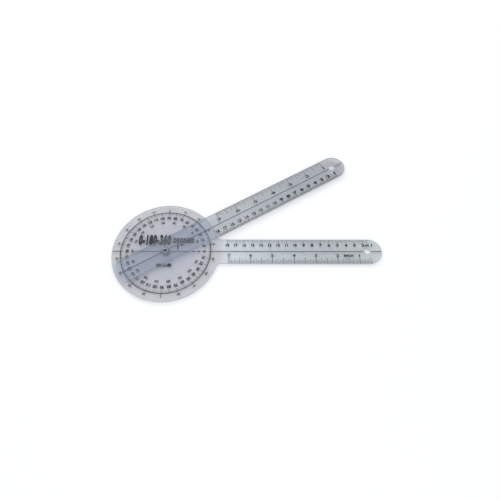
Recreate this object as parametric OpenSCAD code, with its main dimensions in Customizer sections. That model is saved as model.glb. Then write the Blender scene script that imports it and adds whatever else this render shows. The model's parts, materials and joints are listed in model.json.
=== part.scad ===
// Long-arm goniometer: a clear dial sheet that carries the fixed arm, and a
// clear moving arm that turns on an eyelet through the centre of the dial.
//
// Millimetres. The pivot's axis is Z, through the origin. The fixed arm runs
// along +X, and z = 0 is the underside of the dial sheet.

/* [Dial and fixed arm] */
// Diameter of the round dial
dial_d = 127; // [90:0.5:150]
// From the pivot to the end of either arm
arm_reach = 254; // [150:1:320]
// Width of either arm
arm_w = 31.75; // [24:0.25:40]
// Thickness of either clear sheet
sheet_t = 1.5; // [1:0.1:3]
// Radius of the inner corner where the fixed arm leaves the dial
corner_r = 6; // [2:0.5:12]

/* [Moving arm] */
// Angle of the moving arm from the fixed arm
rest_angle = 30.6; // [0:0.1:359.9]
// From the pivot to the end of the short tail behind it
tail_reach = 61; // [45:0.5:63]
// Radius of the tail's rounded end
tail_end_r = 22; // [20:0.5:40]

/* [Hanging holes] */
// Diameter of the hole near each arm's end
hang_hole_d = 7; // [4:0.1:9]
// From an arm's end to the centre of its hole
hang_hole_inset = 17; // [10:0.5:30]

/* [Pivot] */
// Diameter of the hole through the eyelet
eyelet_bore_d = 4; // [3:0.1:5]
// Thickness of the eyelet's metal
eyelet_wall = 0.4; // [0.3:0.05:0.5]
// Width of the eyelet's rolled rims, from the bore outwards
eyelet_rim_w = 1; // [0.9:0.1:2]
// Outer diameter of the washers
washer_d = 10; // [8:0.5:14]
// Thickness of the washer under each rim of the eyelet
rim_washer_t = 0.4; // [0.3:0.1:1]
// Thickness of the friction washer between the two sheets
friction_washer_t = 0.3; // [0.2:0.1:1]
// Clearance of the moving arm, round the eyelet and at each washer
running_gap = 0.05; // [0.02:0.01:0.1]

/* [Hidden] */

$fn = 96;
cut = 1;

// The rounded end of an arm, and the hole in it
arm_end_x = arm_reach - arm_w / 2;
hang_hole_x = arm_reach - hang_hole_inset;

// Centre of the corner circle that touches the dial's rim and the arm's side
corner_y = arm_w / 2 + corner_r;
corner_x = sqrt(pow(dial_d / 2 + corner_r, 2) - pow(corner_y, 2));
// The cut goes this much past both, so that it crosses them instead of touching
corner_bite = 0.02;

// Radii on the pivot's axis
eyelet_bore_r = eyelet_bore_d / 2;
barrel_r = eyelet_bore_r + eyelet_wall;
running_r = barrel_r + running_gap;
rim_r = eyelet_rim_w / 2;
rim_centre_r = eyelet_bore_r + rim_r;

// Heights, from the bottom of the stack to its top
bottom_washer_z = -rim_washer_t;
friction_washer_z = sheet_t;
moving_arm_z = friction_washer_z + friction_washer_t + running_gap;
top_washer_z = moving_arm_z + sheet_t + running_gap;
stack_top_z = top_washer_z + rim_washer_t;

CLEAR_SHEET = [0.74, 0.78, 0.83, 0.6];
CLEAR_WASHER = [0.62, 0.66, 0.72, 0.8];

// A strip from start_x to the arm's rounded end, without its hole
module arm_outline(start_x) {
    translate([start_x, -arm_w / 2])
        square([arm_end_x - start_x, arm_w]);
    translate([arm_end_x, 0])
        circle(d = arm_w);
}

// The dial with the fixed arm, and a rounded inner corner on each side of the arm
module dial_outline() {
    difference() {
        union() {
            circle(d = dial_d);
            arm_outline(0);
            polygon([[0, 0], [corner_x, -corner_y], [corner_x, corner_y]]);
        }
        for (side = [-1, 1])
            translate([corner_x, side * corner_y])
                circle(r = corner_r + corner_bite);
    }
}

// The arc that closes the moving arm behind the pivot
module tail_outline() {
    intersection() {
        translate([tail_end_r - tail_reach, 0])
            circle(r = tail_end_r);
        translate([-tail_reach, -arm_w / 2])
            square([tail_end_r, arm_w]);
    }
}

// The vertical hole near an arm's end
module hang_hole() {
    translate([hang_hole_x, 0, -cut])
        cylinder(d = hang_hole_d, h = sheet_t + 2 * cut);
}

// A flat ring round the pivot
module washer(z, t, hole_r) {
    translate([0, 0, z])
        difference() {
            cylinder(d = washer_d, h = t);
            translate([0, 0, -cut])
                cylinder(r = hole_r, h = t + 2 * cut);
        }
}

// Half of the ring section that the eyelet's metal is rolled to, above z = 0
module rolled_rim_section() {
    translate([rim_centre_r, 0])
        intersection() {
            difference() {
                circle(r = rim_r);
                circle(r = rim_r - eyelet_wall);
            }
            translate([-rim_r, 0])
                square([2 * rim_r, rim_r]);
        }
}

module dial_with_fixed_arm() {
    color(CLEAR_SHEET)
        difference() {
            linear_extrude(sheet_t)
                dial_outline();
            translate([0, 0, -cut])
                cylinder(r = barrel_r, h = sheet_t + 2 * cut);
            hang_hole();
        }
}

module moving_arm() {
    color(CLEAR_SHEET)
        translate([0, 0, moving_arm_z])
            rotate(rest_angle)
                difference() {
                    linear_extrude(sheet_t) {
                        arm_outline(tail_end_r - tail_reach);
                        tail_outline();
                    }
                    translate([0, 0, -cut])
                        cylinder(r = running_r, h = sheet_t + 2 * cut);
                    hang_hole();
                }
}

module pivot_eyelet() {
    color("silver")
        rotate_extrude() {
            translate([eyelet_bore_r, bottom_washer_z])
                square([eyelet_wall, stack_top_z - bottom_washer_z]);
            translate([0, stack_top_z])
                rolled_rim_section();
            translate([0, bottom_washer_z])
                mirror([0, 1])
                    rolled_rim_section();
        }
}

module top_washer() {
    color(CLEAR_WASHER)
        washer(top_washer_z, rim_washer_t, barrel_r);
}

module friction_washer() {
    color(CLEAR_WASHER)
        washer(friction_washer_z, friction_washer_t, barrel_r);
}

module bottom_washer() {
    color(CLEAR_WASHER)
        washer(bottom_washer_z, rim_washer_t, barrel_r);
}

dial_with_fixed_arm();
moving_arm();
pivot_eyelet();
top_washer();
friction_washer();
bottom_washer();
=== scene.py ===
"""Looks of the long-arm goniometer.

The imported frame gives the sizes. The two clear sheets, the eyelet and the washers are made again here
with rounded edges, and each printed scale is a thin layer of ink that rides on the sheet it is printed on.
Lengths are millimetres in the drawing code. Meshes, the camera, the lights and the floor are in metres.
"""

import json
import math

import bmesh
import bpy
from mathutils import Matrix, Vector


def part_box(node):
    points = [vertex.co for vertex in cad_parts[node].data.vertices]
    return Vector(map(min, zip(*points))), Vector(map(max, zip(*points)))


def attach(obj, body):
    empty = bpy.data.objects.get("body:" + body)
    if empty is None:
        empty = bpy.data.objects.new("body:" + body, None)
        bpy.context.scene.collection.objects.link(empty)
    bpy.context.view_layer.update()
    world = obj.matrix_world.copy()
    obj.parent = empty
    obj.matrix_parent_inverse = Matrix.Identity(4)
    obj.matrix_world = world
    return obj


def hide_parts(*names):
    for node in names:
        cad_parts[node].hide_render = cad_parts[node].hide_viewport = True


MM = 0.001
FIXED, MOVING = "fixed_side", "moving_side"

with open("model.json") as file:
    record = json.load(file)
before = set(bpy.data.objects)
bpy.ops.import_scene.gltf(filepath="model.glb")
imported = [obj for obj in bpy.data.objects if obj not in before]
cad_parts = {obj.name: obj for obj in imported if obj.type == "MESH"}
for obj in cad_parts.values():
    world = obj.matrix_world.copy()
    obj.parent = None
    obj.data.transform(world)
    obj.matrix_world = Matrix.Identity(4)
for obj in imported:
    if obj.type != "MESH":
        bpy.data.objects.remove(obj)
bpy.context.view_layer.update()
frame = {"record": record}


def mount(name):
    """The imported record's mount of that name."""
    return next(m for m in frame["record"]["mounts"] if m["name"] == name)


def low_mm(node):
    """The lowest corner of a CAD node's box, in millimetres."""
    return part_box(node)[0] / MM


def high_mm(node):
    """The highest corner of a CAD node's box, in millimetres."""
    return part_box(node)[1] / MM


# ---- Sizes, from the frame ----
DIAL_R = -low_mm("dial_with_fixed_arm").x
ARM_REACH = high_mm("dial_with_fixed_arm").x
DIAL_Z = (low_mm("dial_with_fixed_arm").z, high_mm("dial_with_fixed_arm").z)
ARM_Z = (low_mm("moving_arm").z, high_mm("moving_arm").z)
EYELET_Z = (low_mm("pivot_eyelet").z, high_mm("pivot_eyelet").z)
RIM_R = high_mm("pivot_eyelet").x
WASHER_R = high_mm("top_washer").x
BORE_R = mount("eyelet_bore")["dims"]["r_mm"]
HANG_HOLE_R = mount("fixed_arm_hanging_hole")["dims"]["r_mm"]
HANG_HOLE_X = mount("fixed_arm_hanging_hole")["pos_m"][0] / MM
MOVING_HOLE = Vector(mount("moving_arm_hanging_hole")["pos_m"])
REST_ANGLE = math.atan2(MOVING_HOLE.y, MOVING_HOLE.x)
MOVING_TURN = Matrix.Rotation(REST_ANGLE, 4, "Z")

# ---- Sizes that the boxes don't give, as in the CAD source ----
ARM_W = 31.75
CORNER_R = 6.0
TAIL_REACH = 61.0
TAIL_END_R = 22.0
EYELET_WALL = 0.4
RUNNING_GAP = 0.05
BARREL_R = BORE_R + EYELET_WALL
CORNER_Y = ARM_W / 2 + CORNER_R
CORNER_X = math.sqrt((DIAL_R + CORNER_R) ** 2 - CORNER_Y**2)
CORNER_ANGLE = math.degrees(math.atan2(CORNER_Y, CORNER_X))

# ---- Finish of the edges and the ink ----
SHEET_BEVEL = 0.22
WASHER_BEVEL = 0.12
INK_SUNK = 0.01
INK_RAISED = 0.02

# ---- How many straight steps each curve is drawn in ----
DIAL_STEPS = 320
CIRCLE_STEPS = 360
ARM_END_STEPS = 48
TAIL_STEPS = 32
CORNER_STEPS = 12
HOLE_STEPS = 64
WASHER_STEPS = 96
ROLL_STEPS = 20
ROLL_INNER_STEPS = 10
BEVEL_STEPS = 3


# ---- Outlines: each takes an inset and gives points, anticlockwise, in millimetres ----
def arc(centre, radius, start, end, steps):
    """Points on an arc, from start to end in degrees, both included."""
    angles = [math.radians(start + (end - start) * i / steps) for i in range(steps + 1)]
    return [(centre[0] + radius * math.cos(a), centre[1] + radius * math.sin(a)) for a in angles]


def hole_outline(radius):
    """A hole round the pivot, whose wall moves outwards as the inset grows."""
    return lambda inset: arc((0, 0), radius + inset, 0, 360, HOLE_STEPS)[:-1]


def washer_outline(inset):
    """The rim of any washer."""
    return arc((0, 0), WASHER_R - inset, 0, 360, WASHER_STEPS)[:-1]


def hang_hole_outline(inset):
    """The hanging hole of either arm, along +X."""
    return arc((HANG_HOLE_X, 0), HANG_HOLE_R + inset, 0, 360, HOLE_STEPS)[:-1]


def arm_end(inset):
    """The rounded end of either arm, along +X."""
    return arc((ARM_REACH - ARM_W / 2, 0), ARM_W / 2 - inset, -90, 90, ARM_END_STEPS)


def dial_outline(inset):
    """The dial with the fixed arm and its two rounded inner corners."""
    upper = arc((CORNER_X, CORNER_Y), CORNER_R + inset, 270, 180 + CORNER_ANGLE, CORNER_STEPS)
    rim = arc((0, 0), DIAL_R - inset, CORNER_ANGLE, 360 - CORNER_ANGLE, DIAL_STEPS)
    lower = arc((CORNER_X, -CORNER_Y), CORNER_R + inset, 180 - CORNER_ANGLE, 90, CORNER_STEPS)
    return arm_end(inset) + upper + rim[1:-1] + lower


def arm_outline(inset):
    """The moving arm, along +X."""
    half = math.degrees(math.asin((ARM_W / 2 - inset) / (TAIL_END_R - inset)))
    tail = arc((TAIL_END_R - TAIL_REACH, 0), TAIL_END_R - inset, 180 - half, 180 + half, TAIL_STEPS)
    return arm_end(inset) + tail


# ---- Meshes ----
def new_piece(name, bm, materials, body, replaced=()):
    """Turns a bmesh in millimetres into a piece that rides on a body, in place of any replaced nodes."""
    bmesh.ops.transform(bm, matrix=Matrix.Scale(MM, 4), verts=bm.verts)
    mesh = bpy.data.meshes.new(name)
    bm.to_mesh(mesh)
    bm.free()
    for material in materials:
        mesh.materials.append(material)
    piece = bpy.data.objects.new(name, mesh)
    bpy.context.scene.collection.objects.link(piece)
    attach(piece, body)
    if replaced:
        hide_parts(*replaced)
    return piece


def edge_profile(z_low, z_high, bevel):
    """(inset, z) pairs down a sheet's rounded edge, from its top face to its bottom face."""
    turns = [math.radians(90 * i / BEVEL_STEPS) for i in range(BEVEL_STEPS + 1)]
    top = [(bevel * (1 - math.sin(a)), z_high - bevel * (1 - math.cos(a))) for a in turns]
    bottom = [(inset, z_low + z_high - z) for inset, z in reversed(top)]
    return top + bottom


def sheet_bmesh(outlines, z_low, z_high, bevel):
    """A flat sheet with rounded edges. The first outline is its rim, and the others are its holes.
    Its flat faces take the first material, and its edges the second."""
    bm = bmesh.new()
    profile = edge_profile(z_low, z_high, bevel)
    caps = {0: [], len(profile) - 1: []}
    for outline in outlines:
        rings = [[bm.verts.new((x, y, z)) for x, y in outline(inset)] for inset, z in profile]
        for upper, lower in zip(rings, rings[1:]):
            for i in range(len(upper)):
                j = (i + 1) % len(upper)
                side = bm.faces.new((upper[i], lower[i], lower[j], upper[j]))
                side.material_index = 1
                side.smooth = True
        for level, edges in caps.items():
            ring = rings[level]
            edges += [bm.edges.get((ring[i - 1], ring[i])) for i in range(len(ring))]
    for edges in caps.values():
        bmesh.ops.triangle_fill(bm, edges=edges, use_beauty=True)
    bmesh.ops.recalc_face_normals(bm, faces=bm.faces)
    return bm


def lathe_bmesh(profile):
    """A closed (radius, z, material) profile turned round the pivot's axis."""
    bm = bmesh.new()
    turns = [2 * math.pi * i / WASHER_STEPS for i in range(WASHER_STEPS)]
    rings = [[bm.verts.new((r * math.cos(a), r * math.sin(a), z)) for r, z, _ in profile] for a in turns]
    for i, ring in enumerate(rings):
        following = rings[(i + 1) % WASHER_STEPS]
        for j in range(len(profile)):
            k = (j + 1) % len(profile)
            face = bm.faces.new((ring[j], following[j], following[k], ring[k]))
            face.material_index = profile[j][2]
            face.smooth = True
    bmesh.ops.recalc_face_normals(bm, faces=bm.faces)
    return bm


# ---- Materials ----
CLOUDY = (0.92, 0.94, 0.95)
LILAC = (0.985, 0.97, 1.0)
# The share of light that the faces and the cut edges mirror, seen straight on
FACE_REFLECTANCE = 0.035
EDGE_REFLECTANCE = 0.04
# The share of light that each sheet's faces scatter, and that scratches add to it
DIAL_HAZE, ARM_HAZE, WASHER_HAZE = 0.05, 0.04, 0.06
SCRATCH_HAZE = 0.04
# The share of light that the cut edges scatter, and how far it varies along them
SHEET_EDGE_HAZE, WASHER_EDGE_HAZE = 0.48, 0.4
EDGE_HAZE_RANGE = 0.05
# The light that gets through one face of each sheet, by the distance from the pivot in millimetres. Their
# changes along the arms are painted light and shade: lighter where an arm starts or lies over the dial,
# darker towards the tips.
DIAL_TINTS_AND_PAINTED_SHADING = (
    (0, (0.864, 0.866, 0.884)),
    (34, (0.864, 0.866, 0.884)),
    (42, (0.889, 0.887, 0.9)),
    (50, (0.889, 0.887, 0.898)),
    (56, (0.899, 0.897, 0.897)),
    (63, (0.903, 0.901, 0.901)),
    (70, (0.933, 0.95, 0.952)),
    (100, (0.916, 0.931, 0.935)),
    (150, (0.869, 0.884, 0.887)),
    (190, (0.864, 0.876, 0.876)),
    (225, (0.867, 0.88, 0.879)),
    (250, (0.903, 0.917, 0.91)),
)
ARM_TINTS_AND_PAINTED_SHADING = (
    (0, (0.91, 0.926, 0.954)),
    (34, (0.91, 0.926, 0.954)),
    (44, (0.925, 0.948, 0.991)),
    (60, (0.94, 0.964, 0.998)),
    (65, (0.88, 0.887, 0.892)),
    (100, (0.874, 0.88, 0.887)),
    (150, (0.842, 0.855, 0.86)),
    (205, (0.825, 0.834, 0.845)),
    (250, (0.817, 0.823, 0.824)),
)
# Painted shade along the arm's sides: what its tint is multiplied by there, and how far from its middle that
# starts and ends
ARM_SIDE_PAINTED_SHADE = (0.91, 0.91, 0.9)
ARM_SIDE_SHADE_FROM, ARM_SIDE_SHADE_TO = 11, 15.5


def new_material(name):
    """A material with an empty node tree, and the calls that fill it."""
    material = bpy.data.materials.new(name)
    material.use_nodes = True
    material.node_tree.nodes.clear()
    return material, Nodes(material.node_tree)


class Nodes:
    """Short calls that add nodes to one tree and link them."""

    def __init__(self, tree):
        self.tree = tree

    def add(self, kind, inputs=None, **settings):
        """A node with its settings, and with a link or a value in each input that is given."""
        node = self.tree.nodes.new(kind)
        for key, value in settings.items():
            setattr(node, key, value)
        for key, value in (inputs or {}).items():
            if isinstance(value, bpy.types.NodeSocket):
                self.tree.links.new(value, node.inputs[key])
            else:
                node.inputs[key].default_value = value
        return node

    def position(self):
        """The object's own coordinates, in millimetres."""
        place = self.add("ShaderNodeTexCoord").outputs["Object"]
        to_mm = (1 / MM, 1 / MM, 1 / MM)
        return self.add("ShaderNodeVectorMath", {0: place, 1: to_mm}, operation="MULTIPLY").outputs[0]

    def noise(self, place, scale, detail=3, stretch=(1, 1, 1), turn=0.0):
        """Noise of about scale features to the millimetre, stretched and turned about Z."""
        mapped = self.add(
            "ShaderNodeMapping",
            {"Vector": place, "Scale": stretch, "Rotation": (0, 0, turn)},
        ).outputs[0]
        return self.add(
            "ShaderNodeTexNoise", {"Vector": mapped, "Scale": scale, "Detail": detail}
        ).outputs["Fac"]

    def remap(self, value, low, high, to_low=0.0, to_high=1.0):
        """A value between low and high, brought between to_low and to_high and kept there."""
        return self.add(
            "ShaderNodeMapRange",
            {"Value": value, "From Min": low, "From Max": high, "To Min": to_low, "To Max": to_high},
        ).outputs[0]

    def radius(self, place):
        """How far a place is from the pivot's axis."""
        flat = self.add("ShaderNodeVectorMath", {0: place, 1: (1, 1, 0)}, operation="MULTIPLY").outputs[0]
        return self.add("ShaderNodeVectorMath", {0: flat}, operation="LENGTH").outputs["Value"]

    def reflectance(self, straight_on):
        """The share of light that a face reflects, alike from its front and its back: it grows from
        straight_on to all of it at a grazing angle."""
        grazing = self.add("ShaderNodeLayerWeight", {"Blend": 0.5}).outputs["Facing"]
        grazing = self.add("ShaderNodeMath", {0: grazing, 1: 5.0}, operation="POWER").outputs[0]
        return self.remap(grazing, 0, 1, straight_on, 1)

    def maximum(self, a, b):
        """The larger of two values."""
        return self.add("ShaderNodeMath", {0: a, 1: b}, operation="MAXIMUM").outputs[0]

    def ramp(self, value, stops):
        """A colour for each value, straight from one (value, colour) stop to the next."""
        last = stops[-1][0]
        node = self.add("ShaderNodeValToRGB", {"Fac": self.remap(value, 0, last)})
        elements = node.color_ramp.elements
        while len(elements) < len(stops):
            elements.new(1)
        for element, (place, colour) in zip(elements, stops):
            element.position = place / last
            element.color = (*colour, 1)
        return node.outputs["Color"]

    def across(self, place, turn):
        """How far a place is to either side of a line through the pivot, at turn radians from +X."""
        turned = self.add("ShaderNodeMapping", {"Vector": place, "Rotation": (0, 0, -turn)}).outputs[0]
        y = self.add("ShaderNodeSeparateXYZ", {0: turned}).outputs["Y"]
        return self.add("ShaderNodeMath", {0: y}, operation="ABSOLUTE").outputs[0]

    def mix_colour(self, factor, a, b, blend="MIX"):
        """From a to b, which are colours or the outputs of nodes."""
        node = self.add("ShaderNodeMix", data_type="RGBA", blend_type=blend)
        self.tree.links.new(factor, node.inputs[0])
        for socket, colour in ((node.inputs[6], a), (node.inputs[7], b)):
            if isinstance(colour, bpy.types.NodeSocket):
                self.tree.links.new(colour, socket)
            else:
                socket.default_value = (*colour, 1)
        return node.outputs[2]

    def mix(self, factor, a, b):
        """From the shader a to the shader b."""
        return self.add("ShaderNodeMixShader", {0: factor, 1: a, 2: b}).outputs[0]

    def surface(self, shader):
        """Makes a shader the material's surface."""
        self.add("ShaderNodeOutputMaterial", {"Surface": shader})


def scratches(nodes, place):
    """Fine handling scratches in three directions, from 0 to 1."""
    found = None
    for turn, scale in ((0.3, 0.9), (1.25, 1.1), (2.4, 0.8)):
        lines = nodes.noise(place, scale, 2, (0.035, 2.2, 1), turn)
        lines = nodes.remap(lines, 0.66, 0.72)
        found = lines if found is None else nodes.maximum(found, lines)
    return found


def clear_face_material(name, tint_of, haze):
    """The flat faces of a clear sheet: tinted, cloudy in places, a little hazy, glossy and scratched.
    tint_of(nodes, place) gives the colour of the light that gets through one face."""
    material, nodes = new_material(name)
    place = nodes.position()
    cloud = nodes.remap(nodes.noise(place, 0.03, 3), 0.4, 0.65, 0.0, 0.22)
    warm = nodes.remap(nodes.noise(place, 0.045, 2), 0.45, 0.7, 0.0, 0.3)
    tint = nodes.mix_colour(cloud, tint_of(nodes, place), CLOUDY, "MULTIPLY")
    tint = nodes.mix_colour(warm, tint, LILAC, "MULTIPLY")
    marks = scratches(nodes, place)
    clear = nodes.add("ShaderNodeBsdfTransparent", {"Color": tint}).outputs[0]
    milk = nodes.add("ShaderNodeBsdfDiffuse", {"Color": (0.7, 0.74, 0.8, 1)}).outputs[0]
    hazy = nodes.mix(nodes.remap(marks, 0, 1, haze, haze + SCRATCH_HAZE), clear, milk)
    ripple = nodes.noise(place, 0.12, 2)
    bump = nodes.add("ShaderNodeBump", {"Height": ripple, "Strength": 0.05, "Distance": 0.0002}).outputs[0]
    rough = nodes.remap(marks, 0, 1, 0.06, 0.3)
    gloss = nodes.add("ShaderNodeBsdfGlossy", {"Roughness": rough, "Normal": bump}).outputs[0]
    nodes.surface(nodes.mix(nodes.reflectance(FACE_REFLECTANCE), hazy, gloss))
    return material


def clear_edge_material(name, tint, haze):
    """The cut edge of a clear sheet, less clear than its faces from its saw cut, and darker than them:
    painted shade for the dark lines that refraction draws along a clear sheet's edges.
    """
    material, nodes = new_material(name)
    place = nodes.position()
    saw = nodes.noise(place, 1.2, 3, (1, 1, 0.15))
    clear = nodes.add("ShaderNodeBsdfTransparent", {"Color": (*tint, 1)}).outputs[0]
    milk = nodes.add("ShaderNodeBsdfDiffuse", {"Color": (0.76, 0.79, 0.83, 1)}).outputs[0]
    share = nodes.remap(saw, 0.3, 0.7, haze - EDGE_HAZE_RANGE, haze + EDGE_HAZE_RANGE)
    hazy = nodes.mix(share, clear, milk)
    bump = nodes.add("ShaderNodeBump", {"Height": saw, "Strength": 0.06, "Distance": 0.0001}).outputs[0]
    gloss = nodes.add(
        "ShaderNodeBsdfGlossy", {"Roughness": nodes.remap(saw, 0.3, 0.7, 0.12, 0.3), "Normal": bump}
    ).outputs[0]
    nodes.surface(nodes.mix(nodes.reflectance(EDGE_REFLECTANCE), hazy, gloss))
    return material


def ink_material(name, colour, worn):
    """Screen-printed ink, mottled and a little worn."""
    material, nodes = new_material(name)
    place = nodes.position()
    mottle = nodes.noise(place, 1.5, 4)
    tone = nodes.mix_colour(nodes.remap(mottle, 0.35, 0.75), colour, worn)
    fine = nodes.noise(place, 6, 2)
    bump = nodes.add("ShaderNodeBump", {"Height": fine, "Strength": 0.3, "Distance": 0.00002}).outputs[0]
    shader = nodes.add(
        "ShaderNodeBsdfPrincipled",
        {
            "Base Color": tone,
            "Roughness": nodes.remap(mottle, 0.3, 0.7, 0.42, 0.62),
            "Specular IOR Level": 0.35,
            "Normal": bump,
        },
    )
    nodes.surface(shader.outputs[0])
    return material


def metal_material(name, bright, dull, rough_low, rough_high):
    """Plated metal with rolling marks round the pivot and small dull patches."""
    material, nodes = new_material(name)
    place = nodes.position()
    patches = nodes.noise(place, 1.1, 4)
    tone = nodes.mix_colour(nodes.remap(patches, 0.4, 0.7), bright, dull)
    grain = nodes.noise(place, 5, 3, (1, 1, 4))
    bump = nodes.add("ShaderNodeBump", {"Height": grain, "Strength": 0.15, "Distance": 0.00003}).outputs[0]
    shader = nodes.add(
        "ShaderNodeBsdfPrincipled",
        {
            "Base Color": tone,
            "Metallic": 1.0,
            "Roughness": nodes.remap(patches, 0.3, 0.7, rough_low, rough_high),
            "Normal": bump,
        },
    )
    nodes.surface(shader.outputs[0])
    return material


def floor_material():
    """Plain pale paper."""
    material, nodes = new_material("floor_paper")
    shader = nodes.add(
        "ShaderNodeBsdfPrincipled",
        {"Base Color": (0.93, 0.93, 0.935, 1), "Roughness": 0.9, "Specular IOR Level": 0.1},
    )
    nodes.surface(shader.outputs[0])
    return material


def dial_tint(nodes, place):
    """Lilac-grey inside the dial's circle. Along the fixed arm it holds painted light and shade: lightest
    where the arm starts, darker further out.
    """
    return nodes.ramp(nodes.radius(place), DIAL_TINTS_AND_PAINTED_SHADING)


def arm_tint(nodes, place):
    """Painted light and shade: lighter and bluer where the arm always lies over the dial, and darker towards
    the tip and along both sides.
    """
    # Painted light where the arm lies over the dial, and painted shade towards its tip
    tint = nodes.ramp(nodes.radius(place), ARM_TINTS_AND_PAINTED_SHADING)
    # Painted shade along both sides of the arm
    side = nodes.remap(nodes.across(place, REST_ANGLE), ARM_SIDE_SHADE_FROM, ARM_SIDE_SHADE_TO)
    return nodes.mix_colour(side, tint, ARM_SIDE_PAINTED_SHADE, "MULTIPLY")


def washer_tint(nodes, place):
    """Painted shade: darker next to the eyelet's rim."""
    outwards = nodes.remap(nodes.radius(place), RIM_R, WASHER_R)
    return nodes.mix_colour(outwards, (0.8, 0.81, 0.85), (0.86, 0.87, 0.9))


# The dark tints of the cut edges are painted shade for the lines that refraction draws along them; their
# haze is the cut's own finish
CLEAR_EDGE = clear_edge_material("clear_sheet_edge", (0.3, 0.33, 0.38), SHEET_EDGE_HAZE)
DIAL_CLEAR = [clear_face_material("dial_sheet_face", dial_tint, DIAL_HAZE), CLEAR_EDGE]
ARM_CLEAR = [clear_face_material("arm_sheet_face", arm_tint, ARM_HAZE), CLEAR_EDGE]
CLEAR_WASHER = [
    clear_face_material("washer_face", washer_tint, WASHER_HAZE),
    clear_edge_material("washer_edge", (0.45, 0.48, 0.56), WASHER_EDGE_HAZE),
]
BLACK_INK = ink_material("black_ink", (0.01, 0.011, 0.016), (0.025, 0.028, 0.038))
HAIRLINE_INK = ink_material("hairline_ink", (0.105, 0.12, 0.145), (0.145, 0.16, 0.185))
RED_INK = ink_material("red_ink", (0.056, 0.027, 0.038), (0.095, 0.047, 0.064))
PLATED = metal_material("nickel_plate", (0.48, 0.48, 0.51), (0.3, 0.3, 0.33), 0.3, 0.45)
# The bore's wall is much darker than the plating: painted shade inside the tube
BORE_METAL_PAINTED_SHADE = metal_material("bore_metal_painted_shade", (0.2, 0.2, 0.22), (0.1, 0.1, 0.12), 0.4, 0.6)


# ---- Camera, light and floor, in metres ----
CAMERA_PLACE = (0.1076, -0.2403, 0.4689)
CAMERA_TURN = (27.40, 0.75, 0.46)
CAMERA_LENS = 32.17
FLOOR_CENTRE = (0.1, 0)
FLOOR_REACH = 12
# Where each lamp stands, what it points at, its width and its power in watts
KEY_LAMP = ((-0.4, 1.72, 1.22), (0.08, 0.02, 0), 1.1, 10.5)
FILL_LAMP = ((0.3, -1.2, 1.2), (0.1, 0.05, 0), 0.9, 3)
SKY_COLOUR = (0.95, 0.97, 1, 1)
SKY_STRENGTH = 0.94


def make_camera():
    """The photograph's view: a lens of 32 mm, 27 degrees off straight down."""
    data = bpy.data.cameras.new("camera")
    data.sensor_width = 36
    data.lens = CAMERA_LENS
    data.clip_start = 0.01
    camera = bpy.data.objects.new("camera", data)
    camera.location = CAMERA_PLACE
    camera.rotation_euler = [math.radians(angle) for angle in CAMERA_TURN]
    bpy.context.scene.collection.objects.link(camera)
    bpy.context.scene.camera = camera


def area_light(name, place, aim, size, power):
    """A square lamp that points at a place."""
    data = bpy.data.lights.new(name, "AREA")
    data.shape = "SQUARE"
    data.size = size
    data.energy = power
    light = bpy.data.objects.new(name, data)
    light.location = place
    light.rotation_euler = (Vector(aim) - Vector(place)).to_track_quat("-Z", "Y").to_euler()
    bpy.context.scene.collection.objects.link(light)


def make_stage():
    """A plain pale floor under the eyelet's lower rim, and soft light from above, behind and in front."""
    bm = bmesh.new()
    bmesh.ops.create_grid(bm, x_segments=1, y_segments=1, size=FLOOR_REACH)
    bmesh.ops.translate(bm, vec=(*FLOOR_CENTRE, EYELET_Z[0] * MM), verts=bm.verts)
    mesh = bpy.data.meshes.new("floor")
    bm.to_mesh(mesh)
    bm.free()
    mesh.materials.append(floor_material())
    floor = bpy.data.objects.new("floor", mesh)
    bpy.context.scene.collection.objects.link(floor)
    area_light("key", *KEY_LAMP)
    area_light("fill", *FILL_LAMP)
    world = bpy.data.worlds.new("studio")
    world.use_nodes = True
    background = world.node_tree.nodes["Background"]
    background.inputs["Color"].default_value = SKY_COLOUR
    background.inputs["Strength"].default_value = SKY_STRENGTH
    scene = bpy.context.scene
    scene.world = world
    scene.view_settings.view_transform = "Standard"
    scene.cycles.transparent_max_bounces = 48


# ---- Ink ----
LETTER_RESOLUTION = 4
# How much further apart letters stand for their weight
LETTER_GAP = 2.6


def lettering(text, weight):
    """Lettering in the built-in font as a closed mesh, in the font's own size and 1 unit thick.
    A weight above 0 thickens the strokes, and sets the letters apart so that they don't merge. At this
    resolution the font's 9 stays whole up to a weight of 0.06, and its G and m up to 0.07."""
    data = bpy.data.curves.new("lettering", "FONT")
    data.body = text
    data.align_x = "CENTER"
    data.resolution_u = LETTER_RESOLUTION
    data.offset = weight
    data.space_character = 1 + LETTER_GAP * weight
    data.extrude = 0.5
    holder = bpy.data.objects.new("lettering", data)
    bpy.context.scene.collection.objects.link(holder)
    bpy.context.view_layer.update()
    graph = bpy.context.evaluated_depsgraph_get()
    mesh = bpy.data.meshes.new_from_object(holder.evaluated_get(graph))
    bpy.data.objects.remove(holder)
    bpy.data.curves.remove(data)
    return mesh


def corners(mesh):
    """The lowest and the highest corner of a flat mesh, as 2D vectors."""
    xs = [v.co.x for v in mesh.vertices]
    ys = [v.co.y for v in mesh.vertices]
    return Vector((min(xs), min(ys))), Vector((max(xs), max(ys)))


def text_mesh(text, digit, weight):
    """Lettering centred on the origin. digit is the width and the height of a 0 in it, in millimetres."""
    zero = lettering("0", weight)
    low, high = corners(zero)
    bpy.data.meshes.remove(zero)
    scale = (digit[0] / (high.x - low.x), digit[1] / (high.y - low.y), 1, 1)
    mesh = lettering(text, weight)
    low, high = corners(mesh)
    middle = ((low + high) / 2).to_3d()
    mesh.transform(Matrix.Diagonal(scale) @ Matrix.Translation(-middle))
    return mesh


def polar(angle, radius):
    """The point at an angle in degrees and a distance from the pivot."""
    a = math.radians(angle)
    return (radius * math.cos(a), radius * math.sin(a))


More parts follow.
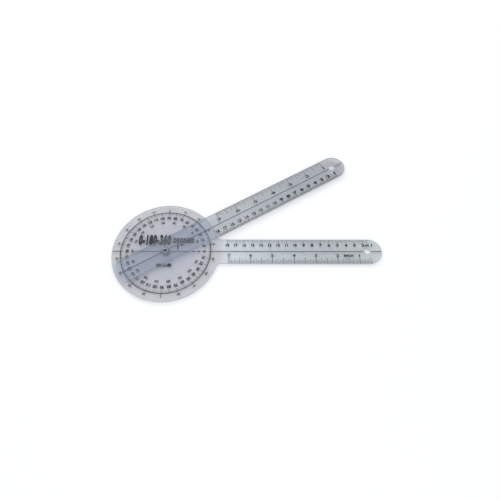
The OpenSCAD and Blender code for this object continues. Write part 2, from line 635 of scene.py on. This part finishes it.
class Print:
    """One printed layer on a sheet: it collects marks and lettering, and becomes one piece."""

    def __init__(self, name, body, material, slot="black_ink"):
        self.name, self.body, self.material, self.slot = name, body, material, slot
        self.bm = bmesh.new()
        top = DIAL_Z[1] if body == FIXED else ARM_Z[1]
        self.z_low, self.z_high = top - INK_SUNK, top + INK_RAISED

    def patch(self, points):
        """A filled patch with straight sides, from points in order."""
        low = [self.bm.verts.new((x, y, self.z_low)) for x, y in points]
        high = [self.bm.verts.new((x, y, self.z_high)) for x, y in points]
        self.bm.faces.new(high)
        self.bm.faces.new(low[::-1])
        for i in range(len(points)):
            j = (i + 1) % len(points)
            self.bm.faces.new((low[i], low[j], high[j], high[i]))

    def line(self, start, end, width):
        """A straight line from one point to another."""
        run = Vector(end) - Vector(start)
        side = Vector((-run.y, run.x)).normalized() * width / 2
        a, b = Vector(start), Vector(end)
        self.patch([a - side, b - side, b + side, a + side])

    def radial(self, angle, r_in, r_out, width):
        """A straight line outwards, at an angle in degrees."""
        self.line(polar(angle, r_in), polar(angle, r_out), width)

    def ring(self, radius, width):
        """A closed circular line round the pivot."""
        inner, outer = radius - width / 2, radius + width / 2
        section = ((inner, self.z_low), (outer, self.z_low), (outer, self.z_high), (inner, self.z_high))
        loops = []
        for r, z in section:
            points = arc((0, 0), r, 0, 360, CIRCLE_STEPS)[:-1]
            loops.append([self.bm.verts.new((x, y, z)) for x, y in points])
        for near, far in zip(loops, loops[1:] + loops[:1]):
            for i in range(CIRCLE_STEPS):
                j = (i + 1) % CIRCLE_STEPS
                self.bm.faces.new((near[i], near[j], far[j], far[i]))

    def text(self, text, centre, digit, turn=0.0, weight=0.05):
        """Lettering centred on a point, with digits of a width and a height, turned anticlockwise."""
        mesh = text_mesh(text, digit, weight)
        thickness = self.z_high - self.z_low
        place = Matrix.Translation((centre[0], centre[1], (self.z_low + self.z_high) / 2))
        turned = Matrix.Rotation(math.radians(turn), 4, "Z")
        mesh.transform(place @ turned @ Matrix.Diagonal((1, 1, thickness, 1)))
        self.bm.from_mesh(mesh)
        bpy.data.meshes.remove(mesh)

    def finish(self):
        """Makes the piece. What is printed on the moving arm was drawn along +X, and turns to its place."""
        if self.body == MOVING:
            bmesh.ops.transform(self.bm, matrix=MOVING_TURN, verts=self.bm.verts)
        bmesh.ops.recalc_face_normals(self.bm, faces=self.bm.faces)
        return new_piece(self.name, self.bm, [self.material], self.body)


# ---- The dial's print ----
CIRCLE_R = 53.4
CIRCLE_W = 0.8
NUMERAL_R = 45.7
RED_NUMERAL_R = 39.2
OUTER_NUMERAL_R = 57.4
# For each divisor of a tick's degree, its depth and width
DEGREE_TICKS = ((10, 4.0, 0.5), (5, 2.9, 0.32), (1, 2.0, 0.2))
# Length and width of the marks outside the circle, and of those at right angles to the fixed arm
OUTER_MARK = (2.3, 0.55)
SQUARE_MARK = (5, 0.8)
# Width and height of one digit of the numerals, by how many digits a numeral has
DIGITS = {1: (2.6, 4.3), 2: (2.25, 4.3), 3: (1.85, 4.2)}
RED_DIGITS = {1: (2.2, 3.4), 2: (1.9, 3.4), 3: (1.6, 3.3)}
OUTER_DIGITS = {2: (1.5, 2.5), 3: (1.3, 2.5)}
NUMERAL_WEIGHT = 0.055
# The lines of generic lettering on each layer: what the scale covers, its unit and its step. Each has its
# text, its centre, the width and height of its digits, and its weight.
DIAL_LETTERING = {
    "dial_title": (("0-180-360", (-14.2, 15.5), (4.5, 14.4), 0.065),),
    "dial_unit": (
        ("DEGREES", (20.4, 14.5), (3.1, 7.0), 0.07),
        ("1°", (16.6, 6.7), (4.6, 7.2), 0.035),
    ),
    "dial_range": (("180-0-180", (-0.6, -18.0), (2.2, 4.6), 0.07),),
}


def tick_size(count, kinds):
    """The depth and width of a tick, from the first (divisor, depth, width) that divides its count."""
    return next((depth, width) for divisor, depth, width in kinds if count % divisor == 0)


def print_dial_scale():
    """The circle, its degree ticks, and the marks and small numerals outside it every 20 degrees."""
    circle = Print("dial_circle", FIXED, BLACK_INK)
    circle.ring(CIRCLE_R, CIRCLE_W)
    circle.finish()
    ticks = Print("dial_degree_ticks", FIXED, BLACK_INK)
    for degree in range(360):
        depth, width = tick_size(degree, DEGREE_TICKS)
        ticks.radial(degree, CIRCLE_R - depth, CIRCLE_R, width)
    ticks.finish()
    outer = Print("dial_outer_marks", FIXED, BLACK_INK)
    for degree in range(10, 360, 20):
        length, width = SQUARE_MARK if degree % 90 == 0 else OUTER_MARK
        outer.radial(degree, CIRCLE_R, CIRCLE_R + length, width)
        if degree % 90:
            label = str(degree)
            outer.text(label, polar(degree, OUTER_NUMERAL_R), OUTER_DIGITS[len(label)], degree - 90)
    outer.finish()


def print_dial_numerals():
    """Black numerals run from 0 at the fixed arm to 180 both ways, and red ones right round the dial."""
    black = Print("dial_numerals", FIXED, BLACK_INK)
    for degree in range(0, 360, 10):
        label = str(degree if degree <= 180 else 360 - degree)
        black.text(label, polar(degree, NUMERAL_R), DIGITS[len(label)], degree - 90, NUMERAL_WEIGHT)
    black.finish()
    red = Print("dial_red_numerals", FIXED, RED_INK, "red_ink")
    for degree in range(0, 360, 20):
        label = str(degree)
        red.text(label, polar(degree, RED_NUMERAL_R), RED_DIGITS[len(label)], degree - 90, NUMERAL_WEIGHT)
    red.finish()


def print_dial_lettering():
    """The generic lettering, a layer for each of its subjects."""
    for name, lines in DIAL_LETTERING.items():
        layer = Print(name, FIXED, BLACK_INK)
        for text, centre, digit, weight in lines:
            layer.text(text, centre, digit, weight=weight)
        layer.finish()


# ---- The arms' print ----
EDGE_Y = ARM_W / 2 - 0.35
CM = 10
INCH = 25.4
# The zero of each ruler, near its arm's end
FIXED_ZERO = ARM_REACH - 1.2
MOVING_CM_ZERO = ARM_REACH - 8.3
MOVING_INCH_ZERO = ARM_REACH - 0.8
# For each divisor of a tick's number, its depth and width. The first kind of tick marks whole units.
FIXED_CM_TICKS = ((10, 4.9, 0.4), (5, 3.8, 0.28), (1, 2.6, 0.18))
MOVING_CM_TICKS = ((10, 4.9, 0.45), (5, 3.8, 0.34), (1, 2.6, 0.26))
INCH_TICKS = ((16, 9.3, 0.55), (8, 7.6, 0.5), (4, 6.0, 0.4), (2, 4.8, 0.34), (1, 3.8, 0.3))
# For each number of digits in a numeral, the width, height and weight of a digit
FIXED_CM_DIGITS = {1: (3.3, 3.9, 0.055), 2: (2.35, 3.9, 0.07)}
FIXED_INCH_DIGITS = {1: (3.3, 3.3, 0.035)}
MOVING_CM_DIGITS = {1: (5.3, 4.6, 0.055), 2: (2.65, 4.4, 0.07)}
MOVING_INCH_DIGITS = {1: (6.2, 3.7, 0.02)}
# How far each row of numerals is from the middle of its arm
FIXED_CM_Y = 8.3
FIXED_INCH_Y = -5.2
MOVING_CM_Y = -8.6
MOVING_INCH_Y = 5.0
# The name of each unit, its centre, the width and height of its digits, and its weight
CM_LABEL = ("cm", (FIXED_ZERO - 15.3, 8.1), (1.9, 3.9), 0.06)
INCH_LABEL = ("INCH", (214.8, -5.4), (2.4, 3.2), 0.08)
# Each hairline's width, how far it keeps from a sheet's end or a hole's edge, and the spans that it covers
# along its arm. The fixed one stops short of the red numerals on both sides of the pivot.
HAIRLINE_W = 1.15
HAIRLINE_GAP = 1.0
BEFORE_HOLE = HANG_HOLE_X - HANG_HOLE_R - HAIRLINE_GAP
AFTER_HOLE = HANG_HOLE_X + HANG_HOLE_R + HAIRLINE_GAP
FIXED_HAIRLINE = (
    (-DIAL_R + HAIRLINE_GAP, -CIRCLE_R),
    (-37, -WASHER_R),
    (WASHER_R, 36),
    (CIRCLE_R, BEFORE_HOLE),
    (AFTER_HOLE, ARM_REACH - HAIRLINE_GAP),
)
MOVING_HAIRLINE = (
    (-58.5, -WASHER_R),
    (WASHER_R, BEFORE_HOLE),
    (AFTER_HOLE, ARM_REACH - HAIRLINE_GAP),
)


def print_hairline(name, body, spans):
    """A line along an arm's middle, broken where something else is printed or cut."""
    layer = Print(name, body, HAIRLINE_INK)
    for start, end in spans:
        layer.line((start, 0), (end, 0), HAIRLINE_W)
    layer.finish()


def print_ruler(name, body, unit, zero, first, last, edge, kinds, digits, y, label=None):
    """Ticks from an arm's edge inwards and a row of numerals, both counted from a zero near its end."""
    ticks = Print(name + "_ticks", body, BLACK_INK)
    parts = kinds[0][0]
    inwards = -1 if edge > 0 else 1
    for i in range(first, last + 1):
        depth, width = tick_size(i, kinds)
        x = zero - i * unit / parts
        ticks.line((x, edge + inwards * depth), (x, edge), width)
    ticks.finish()
    numerals = Print(name + "_numerals", body, BLACK_INK)
    for n in range(1, last // parts + 1):
        *digit, weight = digits[len(str(n))]
        numerals.text(str(n), (zero - unit * n, y), digit, weight=weight)
    if label:
        text, centre, digit, weight = label
        numerals.text(text, centre, digit, weight=weight)
    numerals.finish()


def print_fixed_arm():
    print_hairline("fixed_arm_hairline", FIXED, FIXED_HAIRLINE)
    print_ruler(
        "fixed_arm_cm", FIXED, CM, FIXED_ZERO, first=14, last=180, edge=EDGE_Y, kinds=FIXED_CM_TICKS,
        digits=FIXED_CM_DIGITS, y=FIXED_CM_Y, label=CM_LABEL,
    )
    print_ruler(
        "fixed_arm_inch", FIXED, INCH, FIXED_ZERO, first=7, last=112, edge=-EDGE_Y, kinds=INCH_TICKS,
        digits=FIXED_INCH_DIGITS, y=FIXED_INCH_Y, label=INCH_LABEL,
    )


def print_moving_arm():
    """Drawn along +X, like the fixed arm's print."""
    print_hairline("moving_arm_hairline", MOVING, MOVING_HAIRLINE)
    print_ruler(
        "moving_arm_inch", MOVING, INCH, MOVING_INCH_ZERO, first=16, last=112, edge=EDGE_Y, kinds=INCH_TICKS,
        digits=MOVING_INCH_DIGITS, y=MOVING_INCH_Y,
    )
    print_ruler(
        "moving_arm_cm", MOVING, CM, MOVING_CM_ZERO, first=10, last=180, edge=-EDGE_Y, kinds=MOVING_CM_TICKS,
        digits=MOVING_CM_DIGITS, y=MOVING_CM_Y,
    )


# ---- Sheets, washers and eyelet ----
def make_sheets():
    """The dial with its fixed arm, and the moving arm, turned to its place at rest."""
    outlines = [dial_outline, hole_outline(BARREL_R), hang_hole_outline]
    dial = sheet_bmesh(outlines, *DIAL_Z, SHEET_BEVEL)
    new_piece("dial_sheet", dial, DIAL_CLEAR, FIXED, ["dial_with_fixed_arm"])
    outlines = [arm_outline, hole_outline(BARREL_R + RUNNING_GAP), hang_hole_outline]
    arm = sheet_bmesh(outlines, *ARM_Z, SHEET_BEVEL)
    bmesh.ops.transform(arm, matrix=MOVING_TURN, verts=arm.verts)
    new_piece("arm_sheet", arm, ARM_CLEAR, MOVING, ["moving_arm"])


def make_washers():
    """Three flat rings round the eyelet: under each of its rims, and between the sheets."""
    for node in ("top_washer", "friction_washer", "bottom_washer"):
        outlines = [washer_outline, hole_outline(BARREL_R)]
        bm = sheet_bmesh(outlines, low_mm(node).z, high_mm(node).z, WASHER_BEVEL)
        new_piece(node + "_ring", bm, CLEAR_WASHER, FIXED, [node])


def make_eyelet():
    """A tube of thin metal whose ends are rolled outwards and down onto the washers."""
    rim_r = (RIM_R - BORE_R) / 2
    rim_centre = BORE_R + rim_r
    top_z, bottom_z = EYELET_Z[1] - rim_r, EYELET_Z[0] + rim_r
    outer = [(r, z, 0) for r, z in arc((rim_centre, top_z), rim_r, 180, 0, ROLL_STEPS)]
    inner = [(r, z, 0) for r, z in arc((rim_centre, top_z), rim_r - EYELET_WALL, 0, 180, ROLL_INNER_STEPS)]
    lower_inner = [(r, top_z + bottom_z - z, 0) for r, z, _ in reversed(inner)]
    lower_outer = [(r, top_z + bottom_z - z, 0) for r, z, _ in reversed(outer)]
    # The face from the last point back to the first is the bore's wall, in the second material, darkened as
    # painted shade inside the tube
    lower_outer[-1] = (*lower_outer[-1][:2], 1)
    bm = lathe_bmesh(outer + inner + lower_inner + lower_outer)
    new_piece("eyelet_rolled", bm, [PLATED, BORE_METAL_PAINTED_SHADE], FIXED, ["pivot_eyelet"])


make_camera()
make_stage()
make_sheets()
make_washers()
make_eyelet()
print_dial_scale()
print_dial_numerals()
print_dial_lettering()
print_fixed_arm()
print_moving_arm()
